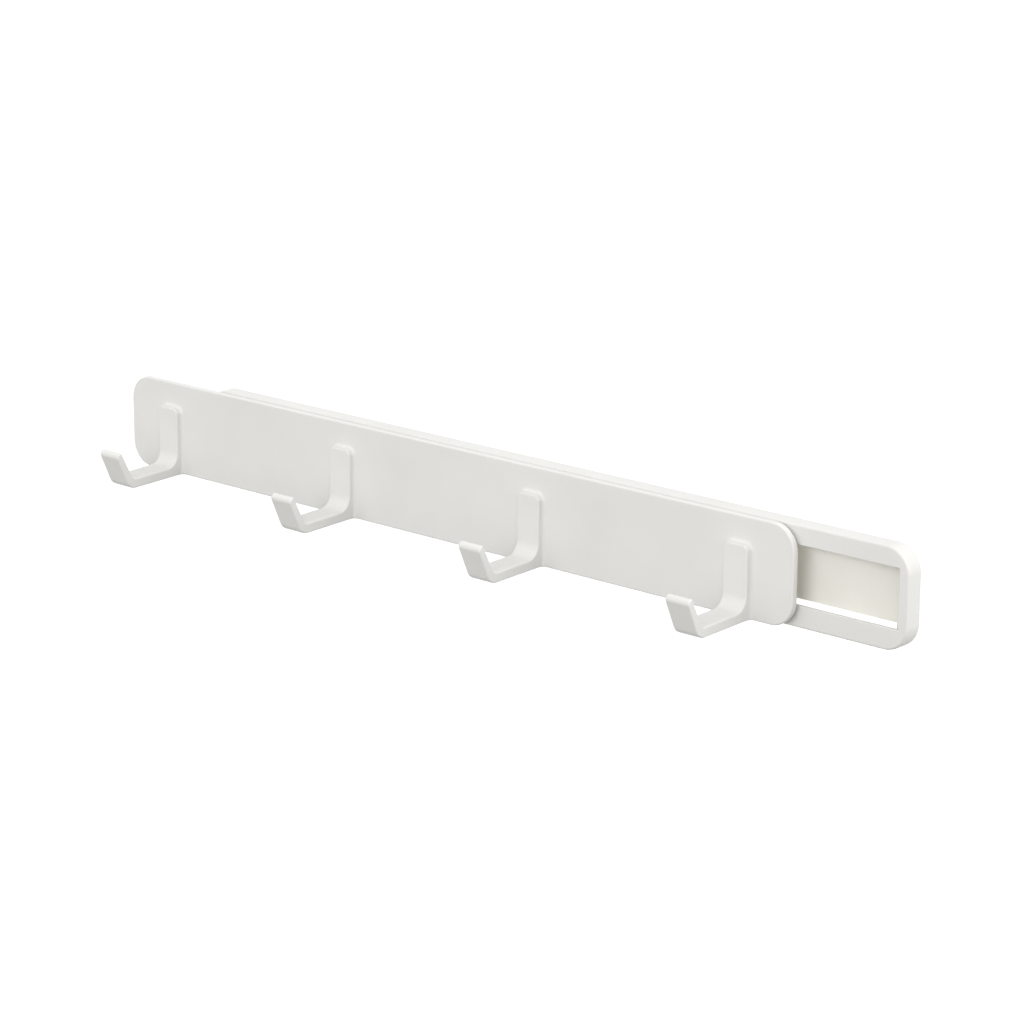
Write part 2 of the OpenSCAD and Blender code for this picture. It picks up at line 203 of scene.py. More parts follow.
def round_edges(test, radius, segments):
    """Bevels the edges that pass the test into an arc."""
    count = pick("EDGE", test)
    bpy.ops.mesh.bevel(offset=radius, segments=segments, profile=0.5, affect="EDGES",
        clamp_overlap=False)
    return count


def merge_flat_faces():
    """Removes the edges between faces that lie in one plane."""
    bpy.ops.mesh.select_all(action="SELECT")
    bpy.ops.mesh.dissolve_limited(angle_limit=flat_angle)


# %% Finish a piece
double_gap = 0.002 * mm
crease_angle = radians(40)


def finish_piece(piece):
    """Closes the mesh, turns its faces outwards and shades it smooth between sharp edges."""
    bpy.ops.mesh.select_all(action="SELECT")
    bpy.ops.mesh.remove_doubles(threshold=double_gap)
    bpy.ops.mesh.fill_holes(sides=8)
    bpy.ops.mesh.normals_make_consistent(inside=False)
    bpy.ops.object.mode_set(mode="OBJECT")
    bpy.ops.object.select_all(action="DESELECT")
    piece.select_set(True)
    bpy.context.view_layer.objects.active = piece
    bpy.ops.object.shade_smooth_by_angle(angle=crease_angle)
    even = piece.modifiers.new("even_shading", "WEIGHTED_NORMAL")
    even.keep_sharp = True
    bpy.ops.object.modifier_apply(modifier=even.name)
    shape = bmesh.new()
    shape.from_mesh(piece.data)
    open_edges = sum(not edge.is_manifold for edge in shape.edges)
    print(piece.name, len(shape.faces), "faces, open edges:", open_edges)
    shape.free()


# %% Drill and weld
overlap = 0.5 * mm  # how deep a boss starts inside the wall that carries it
past = 1 * mm  # how far a cutting tool reaches past the faces it cuts


def rod(x, z, front_y, rear_y, diameter, rear_diameter=None, sides=48):
    """A round bar or a cone along Y between two depths."""
    bpy.ops.mesh.primitive_cone_add(vertices=sides, radius1=diameter / 2, depth=rear_y - front_y,
        radius2=(diameter if rear_diameter is None else rear_diameter) / 2,
        location=(x, (front_y + rear_y) / 2, z), rotation=(-pi / 2, 0, 0))
    bpy.ops.object.transform_apply(location=True, rotation=True, scale=True)
    return bpy.context.object


def bar(low, high):
    """A square bar between two corners, as a tool for combine()."""
    made = start_block("tool", low, high)
    bpy.ops.object.mode_set(mode="OBJECT")
    return made


def combine(piece, operation, tools):
    """Welds tools to a piece (UNION), cuts them out (DIFFERENCE) or trims it (INTERSECT)."""
    for tool in tools:
        step = piece.modifiers.new("step", "BOOLEAN")
        step.operation, step.solver, step.object = operation, "EXACT", tool
        bpy.context.view_layer.objects.active = piece
        bpy.ops.object.modifier_apply(modifier=step.name)
        bpy.data.objects.remove(tool)
    print(piece.name, operation.lower(), len(tools), "tools")


# %% [markdown]
# The hook plate
#
# On the real rail the plate and its four hooks are one moulding in white ABS. Every hook has a pad
# that stands proud of the plate, an arm, and a lip that leans outwards. The mould's edges are
# rounded, and the pads run into the plate with a soft fillet. A boolean of separate blocks would
# leave no clean edge to round, so the hooks are drawn out of the plate's own front face: footprint,
# pad, arm, bend, lip. All edges then form smooth chains that one bevel can follow.

# %% Plate
plate_low, plate_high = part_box("hook_plate")
plate_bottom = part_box("wall_frame")[0].z
plate_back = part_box("upper_glide_strip")[0].y
plate_t = 3.2 * mm
plate_front = plate_back - plate_t
corner_r = 13 * mm
corner_segments = 16

hook_plate = start_block("hook_plate_moulding", Vector((plate_low.x, plate_front, plate_bottom)),
    Vector((plate_high.x, plate_back, plate_high.z)))
round_edges(lambda edge: runs_along(edge, Y), corner_r, corner_segments)
print("plate", round((plate_high.x - plate_low.x) / mm, 1), "mm long and",
    round((plate_high.z - plate_bottom) / mm, 1), "mm high")

# %% Places of the hooks
hook_count = 4
hook_end_inset = 31.5 * mm
hook_w = 14.2 * mm
hook_pitch = (plate_high.x - plate_low.x - 2 * hook_end_inset) / (hook_count - 1)
hook_xs = [plate_low.x + hook_end_inset + i * hook_pitch for i in range(hook_count)]
print("hooks at", [round(x / mm, 1) for x in hook_xs], "mm")


def in_a_hook(part):
    """Whether a face or an edge lies within a hook's width."""
    return any(abs(middle(part).x - x) < hook_w / 2 + slack for x in hook_xs)


# %% Footprints and pads
pad_h = 36.5 * mm
pad_t = 3.5 * mm
pad_corner_r = 3.2 * mm
pad_top = plate_bottom + pad_h

for x in hook_xs:
    for side in (-1, 1):
        cut(faces_towards(-Y), (x + side * hook_w / 2, 0, 0), X)
cut(lambda face: looks(face, -Y) and in_a_hook(face), (0, 0, pad_top), Z)
pick("FACE", lambda face: looks(face, -Y) and in_a_hook(face) and middle(face).z < pad_top)
bpy.ops.mesh.extrude_region_move(TRANSFORM_OT_translate={"value": -Y * pad_t})
merge_flat_faces()
corners = round_edges(
    lambda edge: runs_along(edge, Y) and in_a_hook(edge) and near(middle(edge).z, pad_top),
    pad_corner_r, segments=6)
print("pad corners rounded:", corners)

# %% [markdown]
# Arms and lips
#
# The arm is drawn out of the pad's lower end, with a slight droop. Its bend could be a bevel too,
# but a spin about the bend's centre turns all four hooks at once, in even steps. A moulded hook
# gets thinner towards its tip, so that it leaves the mould, and the corner inside the bend has its
# own fillet. So the inner edge of every step is then moved to where that fillet and the taper put
# it.

# %% Arms, bends and lips
hook_t = 5.2 * mm
hook_reach = 38 * mm
arm_drop = 0.8 * mm
lip_l = 17.15 * mm
lip_lean = radians(24)
bend_outer_r = 6.6 * mm
bend_steps = 10

arm_top = plate_bottom + hook_t
pad_front = plate_front - pad_t
lip_turn = pi / 2 - lip_lean
lip_way = Vector((0, -sin(lip_lean), cos(lip_lean)))
bend_y = plate_front - hook_reach + bend_outer_r * tan(lip_turn / 2)
bend_centre = Vector((0, bend_y, plate_bottom - arm_drop + bend_outer_r))


def on_pad_front(face):
    """Whether a face is part of a pad's front."""
    return looks(face, -Y) and near(middle(face).y, pad_front)


cut(on_pad_front, (0, 0, arm_top), Z)
arms = pick("FACE", lambda face: on_pad_front(face) and middle(face).z < arm_top)
arm_move = Y * (bend_y - pad_front) - Z * arm_drop
bpy.ops.mesh.extrude_region_move(TRANSFORM_OT_translate={"value": arm_move})
bpy.ops.mesh.spin(steps=bend_steps, angle=lip_turn, center=bend_centre, axis=X)
bpy.ops.mesh.extrude_region_move(TRANSFORM_OT_translate={"value": lip_l * lip_way})
print("arms drawn out:", arms)


# %% Edges and angles in the side view
def move_edges(place, target):
    """Moves the hooks' edges along X from one place of their side view to another."""
    pick("EDGE", lambda edge: runs_along(edge, X)
        and (middle(edge) - place).cross(X).length < slack)
    bpy.ops.transform.translate(value=target - place)


def spoke(angle):
    """The direction that points down, turned outwards by an angle."""
    return Vector((0, -sin(angle), -cos(angle)))


# %% Taper and inner fillet
lip_t = 3.7 * mm
bend_r = 3 * mm

lip_foot_t = (hook_t + lip_t) / 2
taper = atan((lip_foot_t - lip_t) / lip_l)
inner_lean = lip_lean + taper
inner_foot = bend_centre + spoke(lip_turn) * (bend_outer_r - lip_foot_t)
fillet_z = arm_top - arm_drop + bend_r
fillet_y = inner_foot.y + (bend_r - (fillet_z - inner_foot.z) * sin(inner_lean)) / cos(inner_lean)
fillet_centre = Vector((0, fillet_y, fillet_z))
for step in range(bend_steps + 1):
    place = bend_centre + spoke(lip_turn * step / bend_steps) * (bend_outer_r - hook_t)
    target = fillet_centre + spoke((lip_turn - taper) * step / bend_steps) * bend_r
    move_edges(place, target)
tip = place + lip_way * lip_l
move_edges(tip, tip + spoke(lip_turn) * (hook_t - lip_t))

shape = bmesh.from_edit_mesh(hook_plate.data)
tip_high = max(v.co.z for v in shape.verts if v.co.y < bend_y)
print("hook tips reach y", round(min(v.co.y for v in shape.verts) / mm, 2), "mm")
print("lip tops at z", round(tip_high / mm, 2), "mm")

# %% [markdown]
# Rounding the moulding
#
# Bevels are laid from large to small, so that each one finds smooth chains. First come the inner
# corner between pad and arm and the lip's tip, then the soft fillets from the pads into the plate.
# What is still sharp after that is one closed chain round the plate and over every hook, and a
# single bevel rounds it with the radius that shows as the bright line along the photograph's edges.


# %% Roots, tips and fillets
def on_lip(edge):
    """Whether an edge is a sharp one across a bend or a lip."""
    return runs_along(edge, X) and middle(edge).y < bend_y and sharp(edge)


root_r = 7 * mm
tip_r = 2.4 * mm
tip_inner_r = 0.9 * mm
pad_fillet = 1.7 * mm

merge_flat_faces()
roots = round_edges(
    lambda edge: runs_along(edge, X) and near(middle(edge).y, pad_front)
    and near(middle(edge).z, arm_top), root_r, segments=8)
tips = round_edges(lambda edge: on_lip(edge) and near(middle(edge).z, tip_high),
    tip_inner_r, segments=6)
tips += round_edges(lambda edge: on_lip(edge) and middle(edge).z > arm_top + hook_t,
    tip_r, segments=6)
fillets = round_edges(
    lambda edge: edge.is_manifold and edge.calc_face_angle_signed() < -corner_angle,
    pad_fillet, segments=6)
print("roots", roots, "tips", tips, "fillet edges", fillets)


# %% Outer edges
def on_plate_back(edge):
    """Whether an edge lies in the plate's rear face."""
    return near(middle(edge).y, plate_back)


edge_r = 0.8 * mm
rear_edge_r = 0.4 * mm
outer = round_edges(lambda edge: sharp(edge) and not on_plate_back(edge), edge_r, segments=4)
rear = round_edges(lambda edge: sharp(edge) and on_plate_back(edge), rear_edge_r, segments=2)
bpy.ops.object.mode_set(mode="OBJECT")
print("outer edges rounded", outer, "rear edges rounded", rear)

# %% [markdown]
# Screw bosses
#
# Behind the plate stand six short bosses, which the carriage's screws bite into. They could be
# extruded out of the flat back as the hooks were out of the front, but a circle cut into a finished
# face spoils the rounded edge round it. So they are round bars, welded on and then drilled, as the
# core pins of the real mould shape them.

# %% Bosses behind the plate
boss_d, boss_l = 5.2 * mm, 4 * mm
pilot_d, pilot_skin = 2.6 * mm, 1.6 * mm
pan_head_d = 4.8 * mm

screw_box_low, screw_box_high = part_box("carriage_screws")
left_x, right_x = screw_box_low.x + pan_head_d / 2, screw_box_high.x - pan_head_d / 2
column_xs = [left_x, (screw_box_low.x + screw_box_high.x) / 2, right_x]
row_z = screw_box_high.z - pan_head_d / 2
spots = [(x, side * row_z) for x in column_xs for side in (-1, 1)]
combine(hook_plate, "UNION",
    [rod(x, z, plate_back - overlap, plate_back + boss_l, boss_d) for x, z in spots])
combine(hook_plate, "DIFFERENCE",
    [rod(x, z, plate_front + pilot_skin, plate_back + boss_l + past, pilot_d) for x, z in spots])
bpy.ops.object.mode_set(mode="EDIT")
finish_piece(hook_plate)
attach(hook_plate, "hook_slide")
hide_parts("hook_plate")
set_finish(hook_plate, "white_plastic")

# %% [markdown]
# The wall frame
#
# The frame is a second moulding: a flat flange with a long opening in front, and a skirt round the
# outside that reaches back to the wall. It could be made from four bars, but a moulding has no
# joints. So it is hollowed out like the real one: a rounded slab, its back pushed in to leave the
# skirt, and the opening bridged from the front face to the floor of the hollow.

# %% Slab, front edge and hollow
skirt_t = 2.5 * mm
flange_t = 2.2 * mm
front_edge_r = 1.2 * mm

frame_low, frame_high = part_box("wall_frame")
frame_front = frame_low.y
floor_y = frame_front + flange_t
wall_frame = start_block("wall_frame_moulding", frame_low, frame_high)
round_edges(lambda edge: runs_along(edge, Y), corner_r, corner_segments)
round_edges(lambda edge: sharp(edge) and near(middle(edge).y, frame_front),
    front_edge_r, segments=5)
pick("FACE", faces_towards(Y))
bpy.ops.mesh.inset(thickness=skirt_t, depth=0, use_even_offset=True)
bpy.ops.mesh.extrude_region_move(
    TRANSFORM_OT_translate={"value": Y * (floor_y - frame_high.y)})
print("frame", round((frame_high.x - frame_low.x) / mm, 1), "mm long and",
    round((frame_high.y - frame_front) / mm, 1), "mm deep")

# %% Opening
rim_end, rim_top, rim_bottom = 5.5 * mm, 9.6 * mm, 10.8 * mm
opening_x = frame_high.x - rim_end
opening_top = frame_high.z - rim_top
opening_bottom = frame_low.z + rim_bottom


def on_flange(face):
    """Whether a face is part of the flange's front or of the hollow's floor."""
    return looks(face, -Y) or looks(face, Y) and near(middle(face).y, floor_y)


def in_opening(face):
    """Whether a face lies inside the outline of the long opening."""
    place = middle(face)
    inside = abs(place.x) < opening_x and opening_bottom < place.z < opening_top
    return inside and abs(face.normal.y) > aligned


for place, direction in ((opening_x * X, X), (-opening_x * X, X), (opening_top * Z, Z),
        (opening_bottom * Z, Z)):
    cut(on_flange, place, direction)
print("faces to bridge:", pick("FACE", in_opening))
bpy.ops.mesh.bridge_edge_loops()
merge_flat_faces()

# %% Edges of the opening and of the hidden side
opening_edge_r = 0.45 * mm
hidden_edge_r = 0.3 * mm
hidden_from = floor_y - 0.1 * mm

seen = round_edges(lambda edge: sharp(edge) and near(middle(edge).y, frame_front),
    opening_edge_r, segments=3)
hidden = round_edges(lambda edge: sharp(edge) and middle(edge).y > hidden_from,
    hidden_edge_r, segments=2)
bpy.ops.object.mode_set(mode="OBJECT")
print("edges rounded in front", seen, "and on the hidden side", hidden)

# %% Corner bosses
corner_boss_d = 6.4 * mm
corner_pilot_d = 2.5 * mm
corner_pilot_y = -6.2 * mm
boss_from_end, boss_from_top = 8.4 * mm, 6.3 * mm

back_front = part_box("back_plate")[0].y
boss_x, boss_z = frame_high.x - boss_from_end, frame_high.z - boss_from_top
corner_spots = [(sx * boss_x, sz * boss_z) for sx in (-1, 1) for sz in (-1, 1)]
combine(wall_frame, "UNION",
    [rod(x, z, floor_y - overlap, back_front, corner_boss_d) for x, z in corner_spots])
combine(wall_frame, "DIFFERENCE",
    [rod(x, z, corner_pilot_y, back_front + past, corner_pilot_d) for x, z in corner_spots])

# %% Notches for the back plate's middle ears
ear_x, ear_w = 72 * mm, 12 * mm
ear_gap, ear_seat_gap = 0.2 * mm, 0.05 * mm
notch_low, notch_high = 20 * mm, 23.55 * mm

notches = []
for centre_x in (-ear_x, ear_x):
    for low_z, high_z in ((-notch_high, -notch_low), (notch_low, notch_high)):
        notches.append(bar(
            Vector((centre_x - ear_w / 2 - ear_gap, back_front - ear_seat_gap, low_z)),
            Vector((centre_x + ear_w / 2 + ear_gap, past, high_z))))
combine(wall_frame, "DIFFERENCE", notches)
bpy.ops.object.mode_set(mode="EDIT")
finish_piece(wall_frame)
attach(wall_frame, "wall_side")
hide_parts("wall_frame")
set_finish(wall_frame, "white_plastic")

# %% [markdown]
# The back plate
#
# A long flat plate closes the back of the slide and carries the fixings: two screw holes on the
# right, two keyholes on the left, and countersunk holes in the ears at its ends. It is drawn as a
# strip whose ends grow into ears. Round corners that cut across an ear are hard to bevel, so the
# whole outline is trimmed by a rounded slab instead, as a punch would do.

# %% Strip and end ears
strip_gap = 0.8 * mm
end_gap = 0.2 * mm
end_ear_w = 8.4 * mm

back_low, back_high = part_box("back_plate")
strip_top, strip_bottom = opening_top - strip_gap, opening_bottom + strip_gap
end_x, end_z = back_high.x, frame_high.z - skirt_t - end_gap
ear_start = end_x - end_ear_w
back_plate = start_block("back_plate_panel", Vector((back_low.x, back_low.y, strip_bottom)),
    Vector((back_high.x, 0, strip_top)))
for x in (-ear_start, ear_start):
    cut(lambda face: abs(face.normal.z) > aligned, (x, 0, 0), X)
for way, strip_end in ((-1, strip_bottom), (1, strip_top)):
    pick("FACE", lambda face: looks(face, way * Z) and abs(middle(face).x) > ear_start)
    bpy.ops.mesh.extrude_region_move(
        TRANSFORM_OT_translate={"value": Z * (way * end_z - strip_end)})
bpy.ops.object.mode_set(mode="OBJECT")
print("end ears", round(end_ear_w / mm, 1), "by", round(2 * end_z / mm, 1), "mm")

# %% Rounded outline
slab_front, slab_rear = -5 * mm, 3 * mm
slab = start_block("tool", Vector((-end_x, slab_front, -end_z)), Vector((end_x, slab_rear, end_z)))
round_edges(lambda edge: runs_along(edge, Y), corner_r - skirt_t - end_gap, segments=14)
bpy.ops.object.mode_set(mode="OBJECT")
combine(back_plate, "INTERSECT", [slab])

# %% Middle ears, screw holes and keyholes
wall_screw_xs, keyhole_xs = (64 * mm, 128 * mm), (-64 * mm, -128 * mm)
wall_screw_d = 4.5 * mm
keyhole_d, keyhole_drop = 8.6 * mm, 6 * mm
ear_hole_d, countersink_d, countersink_l = 2.6 * mm, 4.62 * mm, 1 * mm

combine(back_plate, "UNION", [bar(Vector((x - ear_w / 2, back_low.y, back_low.z)),
    Vector((x + ear_w / 2, 0, back_high.z))) for x in (-ear_x, ear_x)])
front, rear = back_low.y - past, past
tools = [rod(x, 0, front, rear, wall_screw_d) for x in wall_screw_xs + keyhole_xs]
tools += [rod(x, -keyhole_drop, front, rear, keyhole_d) for x in keyhole_xs]
tools += [bar(Vector((x - wall_screw_d / 2, front, -keyhole_drop)),
    Vector((x + wall_screw_d / 2, rear, 0))) for x in keyhole_xs]
tools += [rod(x, z, front, rear, ear_hole_d) for x, z in corner_spots]
tools += [rod(x, z, -countersink_l, slack, ear_hole_d, countersink_d) for x, z in corner_spots]
combine(back_plate, "DIFFERENCE", tools)

# %% Edges of the back plate
panel_edge_r = 0.35 * mm
bpy.ops.object.mode_set(mode="EDIT")
bpy.ops.mesh.select_all(action="SELECT")
bpy.ops.mesh.remove_doubles(threshold=same_place)
merge_flat_faces()
bpy.ops.object.mode_set(mode="OBJECT")
rounding = back_plate.modifiers.new("moulded_edges", "BEVEL")
rounding.width, rounding.segments = panel_edge_r, 2
rounding.limit_method, rounding.angle_limit = "ANGLE", corner_angle
bpy.ops.object.modifier_apply(modifier=rounding.name)
bpy.ops.object.mode_set(mode="EDIT")
finish_piece(back_plate)
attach(back_plate, "wall_side")
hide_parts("back_plate")
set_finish(back_plate, "warm_plastic")

# %% [markdown]
# Screws
#
# Two kinds of screw hold the rail together, and both were bought, not moulded. Each kind is turned
# once: a shank, a head drawn out of its end face, a cross recess sunk in it. Then it is copied to
# its other places, and every copy gets a mesh of its own. The threads sit inside the bosses and
# are left out.

# %% A screw along Y
point_share = 0.3  # length and narrowing of a screw's point, as shares of the shank's diameter
rim_w, rim_h = 0.15 * mm, 0.06 * mm
dome_r, under_head_r = 0.9 * mm, 0.15 * mm


def start_screw(name, place, shank_d, head_d, tip_y, seat_y, head_y, countersunk):
    """A shank with a point at its front end and a countersunk or a domed head at its rear end."""
    x, z = place
    screw = rod(x, z, tip_y, seat_y, shank_d, sides=32)
    screw.name = name
    bpy.ops.object.mode_set(mode="EDIT")
    pick("FACE", faces_towards(-Y))
    bpy.ops.mesh.inset(thickness=shank_d * point_share)
    bpy.ops.transform.translate(value=-Y * shank_d * point_share)
    pick("FACE", faces_towards(Y))
    centre = Vector((x, seat_y, z))
    widen = Vector((1, 1, 1)) * head_d / shank_d
    head_move = Y * (head_y - seat_y)
    if countersunk:
        bpy.ops.mesh.extrude_region_move(TRANSFORM_OT_translate={"value": head_move})
        bpy.ops.transform.resize(value=widen, center_override=centre + head_move)
        bpy.ops.mesh.inset(thickness=rim_w)
        bpy.ops.transform.translate(value=Y * rim_h)
    else:
        bpy.ops.mesh.extrude_region_move()
        bpy.ops.transform.resize(value=widen, center_override=centre)
        bpy.ops.mesh.extrude_region_move(TRANSFORM_OT_translate={"value": head_move})
        round_edges(lambda edge: sharp(edge) and near(middle(edge).y, head_y), dome_r, segments=6)
        round_edges(lambda edge: sharp(edge) and near(middle(edge).y, seat_y),
            under_head_r, segments=2)
    bpy.ops.object.mode_set(mode="OBJECT")
    return screw


# %% A driver's recess
cone_depth_share, cone_width_share = 1.3, 0.75
cone_lead = 0.1 * mm


def sink_recess(screw, place, head_y, span, width, depth):
    """Cuts a driver's cross recess with a pointed middle, and finishes the screw."""
    x, z = place
    tools = [bar(Vector((x - a / 2, head_y - depth, z - b / 2)),
        Vector((x + a / 2, head_y + past, z + b / 2))) for a, b in ((span, width), (width, span))]
    tools.append(rod(x, z, head_y - depth * cone_depth_share, head_y + cone_lead,
        width, span * cone_width_share, sides=4))
    combine(screw, "DIFFERENCE", tools)
    bpy.ops.object.mode_set(mode="EDIT")
    finish_piece(screw)


# %% Copies of a screw
def with_copies(screw, places):
    """The screw at the first place and its copies at the others, each with its own mesh."""
    made = [screw]
    for number, (x, z) in enumerate(places[1:], 2):
        bpy.ops.object.select_all(action="DESELECT")
        screw.select_set(True)
        bpy.context.view_layer.objects.active = screw
        bpy.ops.object.duplicate()
        other = bpy.context.object
        other.name = f"{screw.name[:-2]}_{number}"
        shift = Vector((x - places[0][0], 0, z - places[0][1]))
        other.data.transform(Matrix.Translation(shift))
        made.append(other)
    return made


# %% Frame screws
frame_screw = start_screw("frame_screw_1", corner_spots[0], shank_d=2.4 * mm, head_d=4.3 * mm,
    tip_y=-5.3 * mm, seat_y=-1.1 * mm, head_y=-0.16 * mm, countersunk=True)
sink_recess(frame_screw, corner_spots[0], head_y=-0.1 * mm,
    span=2.4 * mm, width=0.6 * mm, depth=0.7 * mm)
screws = [(screw, "frame_screws", "wall_side") for screw in with_copies(frame_screw, corner_spots)]

# %% Carriage screws
pan_head_h = 1.8 * mm
tip_gap = 0.8 * mm
carriage_screw = start_screw("carriage_screw_1", spots[0], shank_d=2.5 * mm, head_d=pan_head_d,
    tip_y=screw_box_low.y + tip_gap, seat_y=screw_box_high.y - pan_head_h,
    head_y=screw_box_high.y, countersunk=False)
sink_recess(carriage_screw, spots[0], head_y=screw_box_high.y,
    span=2.6 * mm, width=0.6 * mm, depth=0.9 * mm)
screws += [(screw, "carriage_screws", "hook_slide") for screw in with_copies(carriage_screw, spots)]

for screw, node, body in screws:
    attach(screw, body)
    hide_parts(node)
    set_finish(screw, "zinc_steel")
print(len(screws), "screws")

# %% [markdown]
# The pieces that stay
#
# Carriage, glides, strips, springs, pads and buffers have the right shape in the CAD model, apart
# from their knife-sharp edges. Their meshes must not be touched, but modifiers may work on top of
# them: Weld closes the loose triangles, and Bevel breaks each edge by the radius of its mould.

# %% Soften the small pieces
edge_radii = {"carriage": 0.3 * mm, "left_drag_spring": 0.08 * mm, "right_drag_spring": 0.08 * mm,
    "left_drag_pad": 0.15 * mm, "right_drag_pad": 0.15 * mm,
    "upper_glide_strip": 0.25 * mm, "lower_glide_strip": 0.25 * mm}
for side in ("upper", "lower"):
    for end in ("left", "right"):
        edge_radii[f"{side}_{end}_glide"] = 0.4 * mm
        edge_radii[f"{side}_{end}_buffer"] = 0.6 * mm
for name, radius in edge_radii.items():
    node = frame["nodes"][name]
    weld = node.modifiers.new("weld", "WELD")
    weld.merge_threshold = double_gap
    soft = node.modifiers.new("mould_radius", "BEVEL")
    soft.width, soft.segments = radius, 3
    soft.limit_method, soft.angle_limit = "ANGLE", crease_angle
print("softened", len(edge_radii), "pieces")

# %% [markdown]
# Finishes
#
# White fittings like this one are moulded in ABS. The mould is spark-eroded, which leaves a fine
# even grain with a soft sheen, and the melt sets with faint clouds of a slightly different white.
# A picture of a surface could be laid on, but two noises in a node tree have no seams and can be
# matched in millimetres. Real grain of 0.05 mm is too fine to show at arm's length, so it is drawn
# at 0.6 mm, and low. All patterns read Object coordinates, so they sit still on their piece when
# it slides.


# %% Colours and nodes
def srgb(code):
    """A colour from its hex code, made linear, with alpha."""
    channels = [int(code[i:i + 2], 16) / 255 for i in (1, 3, 5)]
    return tuple(c / 12.92 if c <= 0.04045 else ((c + 0.055) / 1.055) ** 2.4
        for c in channels) + (1,)


def add(tree, kind, inputs=None, **settings):
    """Adds a node. settings are its properties, inputs give its sockets a value or an output."""
    made = tree.nodes.new(kind)
    for name, value in settings.items():
        setattr(made, name, value)
    for name, value in (inputs or {}).items():
        if isinstance(value, bpy.types.NodeSocket):
            tree.links.new(value, made.inputs[name])
        else:
            made.inputs[name].default_value = value
    return made


# %% Moulded plastics
factor, colour_a, colour_b, mixed_colour = 0, 6, 7, 2  # sockets of a Mix node that mixes colours
noise_range = {"From Min": 0.3, "From Max": 0.7}  # where almost all of a noise's values lie
plastic_spread = (-0.04, 0.06)  # how far the grain takes the roughness from its mean


def moulded_plastic(name, light, dark, roughness, grain, grain_height, cloud, ior):
    """A plastic with mould grain and faint clouds. Sizes are in metres."""
    made = bpy.data.materials.new(name)
    made.use_nodes = True
    tree = made.node_tree
    shader = tree.nodes["Principled BSDF"]
    place = add(tree, "ShaderNodeTexCoord").outputs["Object"]
    clouds = add(tree, "ShaderNodeTexNoise",
        {"Vector": place, "Scale": 1 / cloud, "Detail": 2.0, "Roughness": 0.5})
    tint = add(tree, "ShaderNodeMapRange", {"Value": clouds.outputs["Fac"], **noise_range})
    colour = add(tree, "ShaderNodeMix",
        {factor: tint.outputs["Result"], colour_a: srgb(light), colour_b: srgb(dark)},
        data_type="RGBA")
    pits = add(tree, "ShaderNodeTexNoise",
        {"Vector": place, "Scale": 1 / grain, "Detail": 3.0, "Roughness": 0.6})
    sheen = add(tree, "ShaderNodeMapRange", {"Value": pits.outputs["Fac"], **noise_range,
        "To Min": roughness + plastic_spread[0], "To Max": roughness + plastic_spread[1]})
    bump = add(tree, "ShaderNodeBump",
        {"Height": pits.outputs["Fac"], "Distance": grain_height, "Strength": 1.0})
    tree.links.new(colour.outputs[mixed_colour], shader.inputs["Base Color"])
    tree.links.new(sheen.outputs["Result"], shader.inputs["Roughness"])
    tree.links.new(bump.outputs["Normal"], shader.inputs["Normal"])
    shader.inputs["IOR"].default_value = ior
    return made


# %% White and warm ABS
# ABS, spark-eroded mould: a soft sheen with no mirror image, and edges with a broad highlight
white_abs = moulded_plastic("white_abs_spark_grain", "#ECEBE8", "#E8E7E4", roughness=0.42,
    grain=0.6 * mm, grain_height=0.008 * mm, cloud=35 * mm, ior=1.53)
# ABS in a warmer white, a little duller than the white ABS
warm_abs = moulded_plastic("warm_abs_moulded", "#F4F2EA", "#EFEDE4", roughness=0.5,
    grain=0.6 * mm, grain_height=0.01 * mm, cloud=25 * mm, ior=1.53)
print("made", white_abs.name, "and", warm_abs.name)

# %% Plastics of the slide
# Glass-filled nylon, natural: cloudy and slightly yellow, with short fibres near the surface
natural_nylon = moulded_plastic("natural_nylon_glass_filled", "#E2DFD2", "#D8D4C5",
    roughness=0.52, grain=0.45 * mm, grain_height=0.02 * mm, cloud=9 * mm, ior=1.53)
# Acetal: smooth, waxy and whiter than nylon
acetal = moulded_plastic("acetal_moulded", "#EBEAE4", "#E4E2DA", roughness=0.32,
    grain=0.8 * mm, grain_height=0.004 * mm, cloud=12 * mm, ior=1.48)
# Thermoplastic rubber: near black and dull
rubber = moulded_plastic("black_rubber_moulded", "#1B1B1C", "#232324", roughness=0.75,
    grain=0.35 * mm, grain_height=0.02 * mm, cloud=5 * mm, ior=1.5)
print("made", natural_nylon.name + ",", acetal.name, "and", rubber.name)

# %% [markdown]
# Metals
#
# Zinc plate on steel is a bright grey with fine crystals, dulled by its passivation. The leaf
# springs are rolled stainless strip: the rolls leave fine lines along it, here along X, which
# stretch the highlights across them. Both can come from one noise, which is as wide as it is high
# for the crystals and pulled long for the roll lines.


# %% Plated and rolled steel
steel_spread = (-0.06, 0.08)  # how far lines and crystals take the roughness from its mean


